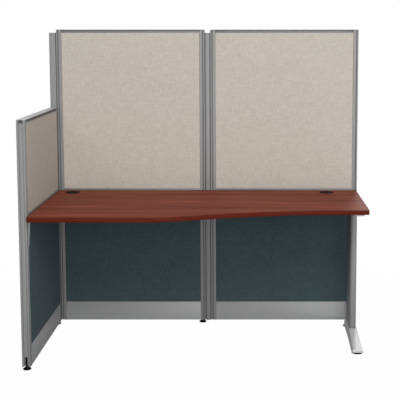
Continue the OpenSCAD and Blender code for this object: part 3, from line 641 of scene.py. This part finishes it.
def screwTree():
    tree, given = newTree("crossScrews", {
        "Head Radius": "Float", "Head Height": "Float", "Dome": "Float", "Shank Radius": "Float",
        "Cross Length": "Float", "Cross Width": "Float", "Cross Depth": "Float", "Sides": "Int",
        "Rings": "Int", "Metal": "Material"})
    wall = add(tree, "ShaderNodeMath", {0: given["Head Height"], 1: given["Dome"]}, operation="SUBTRACT")
    disc = add(tree, "GeometryNodeMeshCylinder", {
        "Vertices": given["Sides"], "Fill Segments": given["Rings"], "Radius": given["Head Radius"],
        "Depth": wall})
    half = add(tree, "ShaderNodeMath", {0: wall, 1: 0.5}, operation="MULTIPLY")
    under = add(tree, "ShaderNodeCombineXYZ", {
        "Z": add(tree, "ShaderNodeMath", {0: half, 1: given["Dome"]}, operation="ADD")})
    # The face bulges down by the dome's height times 1 - (r / R) squared
    place = add(tree, "GeometryNodeInputPosition")
    flat = add(tree, "ShaderNodeVectorMath", {0: place, 1: (1, 1, 0)}, operation="MULTIPLY")
    reach = add(tree, "ShaderNodeVectorMath", {0: flat}, operation="LENGTH").outputs["Value"]
    share = add(tree, "ShaderNodeMath", {0: reach, 1: given["Head Radius"]}, operation="DIVIDE")
    squared = add(tree, "ShaderNodeMath", {0: share, 1: 2.0}, operation="POWER")
    left = add(tree, "ShaderNodeMath", {0: 1.0, 1: squared}, operation="SUBTRACT")
    bulge = add(tree, "ShaderNodeMath", {0: left, 1: given["Dome"]}, operation="MULTIPLY")
    down = add(tree, "ShaderNodeMath", {0: bulge, 1: -1.0}, operation="MULTIPLY")
    domed = add(tree, "GeometryNodeSetPosition", {
        "Geometry": disc.outputs["Mesh"], "Selection": disc.outputs["Bottom"],
        "Offset": add(tree, "ShaderNodeCombineXYZ", {"Z": down})})
    head = add(tree, "GeometryNodeTransform", {"Geometry": domed, "Translation": under})
    deep = add(tree, "ShaderNodeMath", {0: given["Cross Depth"], 1: 2.0}, operation="MULTIPLY")
    arms = []
    for axes in (("X", "Y"), ("Y", "X")):
        size = add(tree, "ShaderNodeCombineXYZ", {
            axes[0]: given["Cross Length"], axes[1]: given["Cross Width"], "Z": deep})
        arms.append(add(tree, "GeometryNodeMeshCube", {"Size": size}))
    recessed = add(tree, "GeometryNodeMeshBoolean", {"Mesh 1": head, "Self Intersection": True},
                   operation="DIFFERENCE", solver="EXACT")
    for arm in arms:
        tree.links.new(arm.outputs["Mesh"], recessed.inputs["Mesh 2"])
    rod = add(tree, "GeometryNodeMeshCylinder", {
        "Vertices": given["Sides"], "Radius": given["Shank Radius"], "Depth": 1.0})
    raised = add(tree, "GeometryNodeTransform", {"Geometry": rod, "Translation": (0, 0, 0.5)})
    # Each point holds its own screw's full length, which the shank is stretched to
    length = add(tree, "GeometryNodeInputNamedAttribute", {"Name": "screwLength"}, data_type="FLOAT")
    stretch = add(tree, "ShaderNodeCombineXYZ", {
        "X": 1.0, "Y": 1.0,
        "Z": add(tree, "ShaderNodeMath", {0: length, 1: given["Head Height"]}, operation="SUBTRACT")})
    spots = given["Geometry"]
    heads = add(tree, "GeometryNodeInstanceOnPoints", {"Points": spots, "Instance": recessed})
    shifted = add(tree, "GeometryNodeSetPosition", {
        "Geometry": spots, "Offset": add(tree, "ShaderNodeCombineXYZ", {"Z": given["Head Height"]})})
    shanks = add(tree, "GeometryNodeInstanceOnPoints", {
        "Points": shifted, "Instance": raised, "Scale": stretch})
    joined = add(tree, "GeometryNodeJoinGeometry", {"Geometry": heads})
    tree.links.new(shanks.outputs["Instances"], joined.inputs["Geometry"])
    real = add(tree, "GeometryNodeRealizeInstances", {0: joined})
    plated = add(tree, "GeometryNodeSetMaterial", {"Geometry": real, "Material": given["Metal"]})
    add(tree, "NodeGroupOutput", {"Geometry": plated})
    return tree


# The lowest point and the length of each screw in a CAD node
def screwSpots(node):
    groups = []
    for vertex in frame["nodes"][node].data.vertices:
        near = [group for group in groups if (group[0] - vertex.co).xy.length < screwSpacing]
        if near:
            near[0].append(vertex.co.copy())
        else:
            groups.append([vertex.co.copy()])
    spots = []
    for group in groups:
        low, high = [Vector([pick(point[i] for point in group) for i in range(3)]) for pick in (min, max)]
        spots.append((((low.x + high.x) / 2, (low.y + high.y) / 2, low.z), high.z - low.z))
    return spots


def deskScrews(node):
    spots = screwSpots(node)
    start = bpy.data.meshes.new(node + "Start")
    start.from_pydata([place for place, length in spots], [], [])
    lengths = start.attributes.new("screwLength", "FLOAT", "POINT")
    for index, (place, length) in enumerate(spots):
        lengths.data[index].value = length
    mesh = grown(node, screwTree(), start, {**screwLook, "Metal": finishes[slotOf[node]]})
    mesh.shade_smooth()
    mesh.set_sharp_from_angle(angle=creaseFrom)
    addPiece("crossScrews", mesh, slotOf[node], node)
    print("screws:", len(spots))


deskScrews("desk_screws")


# Leg castings: sections lofted along the leg. A station holds its distance from the back panels' face,
# its width, its height and how far each flank leans in, all in mm

footLook = {
    "stations": [(28, 38, 18, 2), (63.6, 44, 37.8, 3.5), (107, 48.5, 51, 4.5), (292, 49.5, 51, 4.5),
                 (339.6, 51.5, 41.4, 5), (399.1, 54.5, 29.5, 5), (470.5, 58, 19.2, 5), (530, 60, 14, 4.5)],
    "edge": 2.2,                   # radius of the edges opposite the flat side
    "crown": 1,                    # how far the middle of the side opposite the flat one stands out
    "nose": 10,                    # radius of the front end's corners, seen from above
    "noseEdge": 3.5,               # radius of the front end's edge, seen from the side
    "tail": 5,                     # radius at the back end
}
armLook = {
    "stations": [(62, 36.8, 24.8, 0), (107, 40, 45, 0), (292, 40, 45, 0), (400.4, 44, 28.5, 0),
                 (549.5, 50, 17.4, 0), (563, 50, 15, 0)],
    "edge": 6,
    "crown": 0,
    "nose": 10,
    "noseEdge": 4,
    "tail": 5,
}
ringCount = 72                     # sections between the rounded ends
tailRings = 6
noseRings = 12
ringPoints = 64
discPoints = 72                    # points that stand for a round corner's full circle
soleEdge = 0.8                     # radius of the edges at the flat side
topShares = (-1, -0.7, -0.35, 0, 0.35, 0.7, 1)
castCreaseFrom = math.radians(35)


# A value between the stations, curving smoothly through them and never past them
def stationValue(stations, place, pick):
    last = len(stations) - 1
    index = 0
    while index < last - 1 and place > stations[index + 1][0]:
        index += 1
    slopes = [(stations[i + 1][pick] - stations[i][pick]) / (stations[i + 1][0] - stations[i][0])
              for i in range(last)]

    def tangent(i):
        before, after = slopes[max(i - 1, 0)], slopes[min(i, last - 1)]
        return 0 if before * after <= 0 else 2 * before * after / (before + after)

    start, end = stations[index], stations[index + 1]
    span = end[0] - start[0]
    t = (place - start[0]) / span
    return ((2 * t ** 3 - 3 * t ** 2 + 1) * start[pick] + (t ** 3 - 2 * t ** 2 + t) * span * tangent(index)
            + (3 * t ** 2 - 2 * t ** 3) * end[pick] + (t ** 3 - t ** 2) * span * tangent(index + 1))


# The outline around a few discs, as evenly spaced points that start below the middle
def outlineAround(discs, count):
    dots = sorted((x + radius * math.cos(a), z + radius * math.sin(a)) for x, z, radius in discs
                  for a in [math.tau * i / discPoints for i in range(discPoints)])

    def halfHull(points):
        hull = []
        for point in points:
            while len(hull) > 1 and ((hull[-1][0] - hull[-2][0]) * (point[1] - hull[-2][1])
                                     - (hull[-1][1] - hull[-2][1]) * (point[0] - hull[-2][0])) <= 0:
                hull.pop()
            hull.append(point)
        return hull

    lower, upper = halfHull(dots), halfHull(dots[::-1])
    lowest = min(z for x, z in lower)
    right = [point for point in lower if point[0] > 0]
    left = [point for point in lower if point[0] <= 0]
    path = [(0.0, lowest)] + right + upper[1:-1] + left + [(0.0, lowest)]
    lengths = [0.0]
    for first, second in zip(path, path[1:]):
        lengths.append(lengths[-1] + math.dist(first, second))
    ring = []
    index = 0
    for step in range(count):
        goal = lengths[-1] * step / count
        while lengths[index + 1] < goal:
            index += 1
        part = (goal - lengths[index]) / max(lengths[index + 1] - lengths[index], 1e-9)
        ring.append([path[index][k] + part * (path[index + 1][k] - path[index][k]) for k in (0, 1)])
    return ring


# How much a quarter-round end takes off at a place that lies inside the last stretch of its radius
def roundedOff(radius, inside):
    return radius - math.sqrt(max(0.0, radius ** 2 - max(0.0, inside) ** 2))


# Wells in the arm's underside, one around the head of each screw that holds it to the worktop

wellLook = {
    "radius": 5.2 * mm,
    "roof": 8 * mm,                # metal left above a well
    "overrun": 2 * mm,
    "sides": 40,
}


def withWells(mesh, node):
    low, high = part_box(node)
    roof = high.z - wellLook["roof"]
    depth = roof - low.z + wellLook["overrun"]
    radius = wellLook["radius"]
    form = bmesh.new()
    for (x, y, lowest), length in screwSpots("desk_screws"):
        if low.x < x < high.x and low.y < y < high.y:
            place = Matrix.Translation((x, y, roof - depth / 2))
            bmesh.ops.create_cone(form, cap_ends=True, segments=wellLook["sides"], depth=depth,
                                  radius1=radius, radius2=radius, matrix=place)
    drill = bpy.data.objects.new("wellDrill", bpy.data.meshes.new("wellDrill"))
    form.to_mesh(drill.data)
    form.free()
    holder = bpy.data.objects.new(node + "Maker", mesh)
    for made in (drill, holder):
        scene.collection.objects.link(made)
    cut = holder.modifiers.new("wells", "BOOLEAN")
    cut.operation = "DIFFERENCE"
    cut.solver = "EXACT"
    cut.object = drill
    drilled = finishedMesh(holder)
    bpy.data.objects.remove(drill)
    return drilled


# hanging turns the section over, flat on top and rounded below, and sinks the screws' wells in it
def casting(name, node, look, hanging):
    stations = look["stations"]
    first, last = stations[0][0], stations[-1][0]
    nose, tail = look["nose"], look["tail"]
    places = [first + tail * (1 - math.cos(math.radians(90 * i / tailRings))) for i in range(tailRings)]
    places += [first + tail + (last - nose - first - tail) * i / ringCount for i in range(ringCount)]
    places += [last - nose + nose * math.sin(math.radians(90 * i / noseRings)) for i in range(noseRings + 1)]
    low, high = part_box(node)
    columnLow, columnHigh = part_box("leg_column")
    middle = (columnLow.x + columnHigh.x) / 2
    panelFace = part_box("left_left_stile")[0].y
    form = bmesh.new()
    rings = []
    for place in places:
        tailOff = roundedOff(tail, first + tail - place)
        width = stationValue(stations, place, 1) - 2 * (tailOff + roundedOff(nose, place - (last - nose)))
        height = stationValue(stations, place, 2) - tailOff
        height -= roundedOff(look["noseEdge"], place - (last - look["noseEdge"]))
        lean = stationValue(stations, place, 3)
        edge = min(look["edge"], (height - look["crown"]) / 2, width / 2 - lean - 1)
        discs = [(side * (width / 2 - soleEdge), soleEdge, soleEdge) for side in (-1, 1)]
        discs += [(share * (width / 2 - lean - edge), height - look["crown"] * share ** 2 - edge, edge)
                  for share in topShares]
        y = panelFace - place * mm
        rings.append([form.verts.new((middle + x * mm, y, high.z - z * mm if hanging else low.z + z * mm))
                      for x, z in outlineAround(discs, ringPoints)])
    for one, two in zip(rings, rings[1:]):
        for i in range(ringPoints):
            k = (i + 1) % ringPoints
            form.faces.new((one[i], one[k], two[k], two[i]))
    for ring in (rings[0], rings[-1]):
        centre = form.verts.new(sum((v.co for v in ring), Vector()) / ringPoints)
        for i in range(ringPoints):
            form.faces.new((ring[i], ring[(i + 1) % ringPoints], centre))
    bmesh.ops.recalc_face_normals(form, faces=form.faces)
    mesh = bpy.data.meshes.new(name)
    form.to_mesh(mesh)
    form.free()
    if hanging:
        mesh = withWells(mesh, node)
    mesh.shade_smooth()
    mesh.set_sharp_from_angle(angle=castCreaseFrom)
    addPiece(name, mesh, "leg_silver", node)


casting("footCasting", "leg_foot", footLook, False)
casting("armCasting", "leg_top_arm", armLook, True)
print("castings: foot and top arm")


# Studio: soft lamps, white world and floor to the camera and in reflections

studio = {
    "cameraPlace": (0.247, -4.803, 1.575),
    "pitch": 6.23,                 # degrees below level
    "lens": 87.2,
    "sensorWidth": 36,
    "shift": (-0.125, -0.15),
    "ambient": 0.14,
    "aim": (0.0, 0.1, 0.7),        # what all lamps point at
    "lamps": {                     # place, size in metres, watts
        "leftKey": ((-3.0, -3.8, 3.8), 2.2, 36),
        "frontKey": ((0.5, -4.2, 4.2), 2.2, 123),
        "rightKey": ((2.0, -5.0, 2.2), 3.0, 74),
        "lowFront": ((0.4, -5.4, 1.1), 2.8, 88),
        "sideFill": ((3.6, -0.9, 0.45), 1.6, 16),
        "backLight": ((0.6, 4.6, 3.4), 2.4, 140),
    },
}
floorLook = {
    "size": 30,                    # metres
    "glow": 0.06,
    "tones": ("#989898", "#9e9e9e"),  # pale grey to the lamps; the shares below turn it white to the eye
    "cloudScale": 1.6,
    "whiteNear": 0.985,            # share of plain white around the object, where its shadow falls
    "mirroredNear": 0.2,           # the same share in reflections, which show the shadow there
    "shadowReach": (1.1, 2.2),     # metres from the origin between which the floor turns all white
}


def makeStudio():
    camera = bpy.data.objects.new("camera", bpy.data.cameras.new("camera"))
    scene.collection.objects.link(camera)
    camera.location = studio["cameraPlace"]
    camera.rotation_euler = (math.radians(90 - studio["pitch"]), 0, 0)
    camera.data.lens = studio["lens"]
    camera.data.sensor_width = studio["sensorWidth"]
    camera.data.shift_x, camera.data.shift_y = studio["shift"]
    scene.camera = camera

    for name, (place, size, power) in studio["lamps"].items():
        lamp = bpy.data.lights.new(name, "AREA")
        lamp.size = size
        lamp.energy = power
        holder = bpy.data.objects.new(name, lamp)
        scene.collection.objects.link(holder)
        holder.location = place
        holder.rotation_euler = (Vector(studio["aim"]) - Vector(place)).to_track_quat("-Z", "Y").to_euler()

    world = bpy.data.worlds.new("studio")
    scene.world = world
    world.use_nodes = True
    tree = world.node_tree
    tree.nodes.clear()
    path = add(tree, "ShaderNodeLightPath").outputs
    through = add(tree, "ShaderNodeMath", {0: path["Is Camera Ray"], 1: path["Is Transmission Ray"]},
                  operation="MAXIMUM")
    seen = add(tree, "ShaderNodeMath", {0: through, 1: path["Is Glossy Ray"]}, operation="MAXIMUM")
    ambient = add(tree, "ShaderNodeBackground", {"Color": (1, 1, 1, 1), "Strength": studio["ambient"]})
    white = add(tree, "ShaderNodeBackground", {"Color": (1, 1, 1, 1), "Strength": 1.0})
    mixed = add(tree, "ShaderNodeMixShader", {0: seen, 1: ambient, 2: white})
    add(tree, "ShaderNodeOutputWorld", {"Surface": mixed})


def makeFloor():
    half = floorLook["size"] / 2
    mesh = bpy.data.meshes.new("floor")
    corners = [(-half, -half, 0), (half, -half, 0), (half, half, 0), (-half, half, 0)]
    mesh.from_pydata(corners, [], [(0, 1, 2, 3)])
    floor = bpy.data.objects.new("floor", mesh)
    scene.collection.objects.link(floor)
    material, tree = newMaterial("paleFloor")
    place = add(tree, "ShaderNodeTexCoord").outputs["Object"]
    cloud = add(tree, "ShaderNodeTexNoise", {"Vector": place, "Scale": floorLook["cloudScale"],
                                             "Detail": 2.0})
    tone = add(tree, "ShaderNodeValToRGB", {"Fac": cloud}, stops=list(zip((0.0, 1.0), floorLook["tones"])))
    diffuse = add(tree, "ShaderNodeBsdfDiffuse", {"Color": tone})
    glow = add(tree, "ShaderNodeEmission", {"Color": (1, 1, 1, 1), "Strength": floorLook["glow"]})
    lit = add(tree, "ShaderNodeAddShader", {0: diffuse, 1: glow})
    white = add(tree, "ShaderNodeEmission", {"Color": (1, 1, 1, 1), "Strength": 1.0})
    away = add(tree, "ShaderNodeVectorMath", {0: place}, operation="LENGTH").outputs["Value"]
    near, far = floorLook["shadowReach"]
    share, mirrored = [add(tree, "ShaderNodeMapRange", {"Value": away, "From Min": near, "From Max": far,
                                                        "To Min": floorLook[key], "To Max": 1.0})
                       for key in ("whiteNear", "mirroredNear")]
    path = add(tree, "ShaderNodeLightPath").outputs
    seen = add(tree, "ShaderNodeMath", {0: path["Is Camera Ray"], 1: path["Is Transmission Ray"]},
               operation="MAXIMUM")
    direct = add(tree, "ShaderNodeMath", {0: seen, 1: share}, operation="MULTIPLY")
    shown = add(tree, "ShaderNodeMath", {0: path["Is Glossy Ray"], 1: mirrored, 2: direct},
                operation="MULTIPLY_ADD")
    mixed = add(tree, "ShaderNodeMixShader", {0: shown, 1: lit, 2: white})
    add(tree, "ShaderNodeOutputMaterial", {"Surface": mixed})
    mesh.materials.append(material)


makeStudio()
makeFloor()
scene.view_settings.view_transform = "Standard"
print("studio ready")
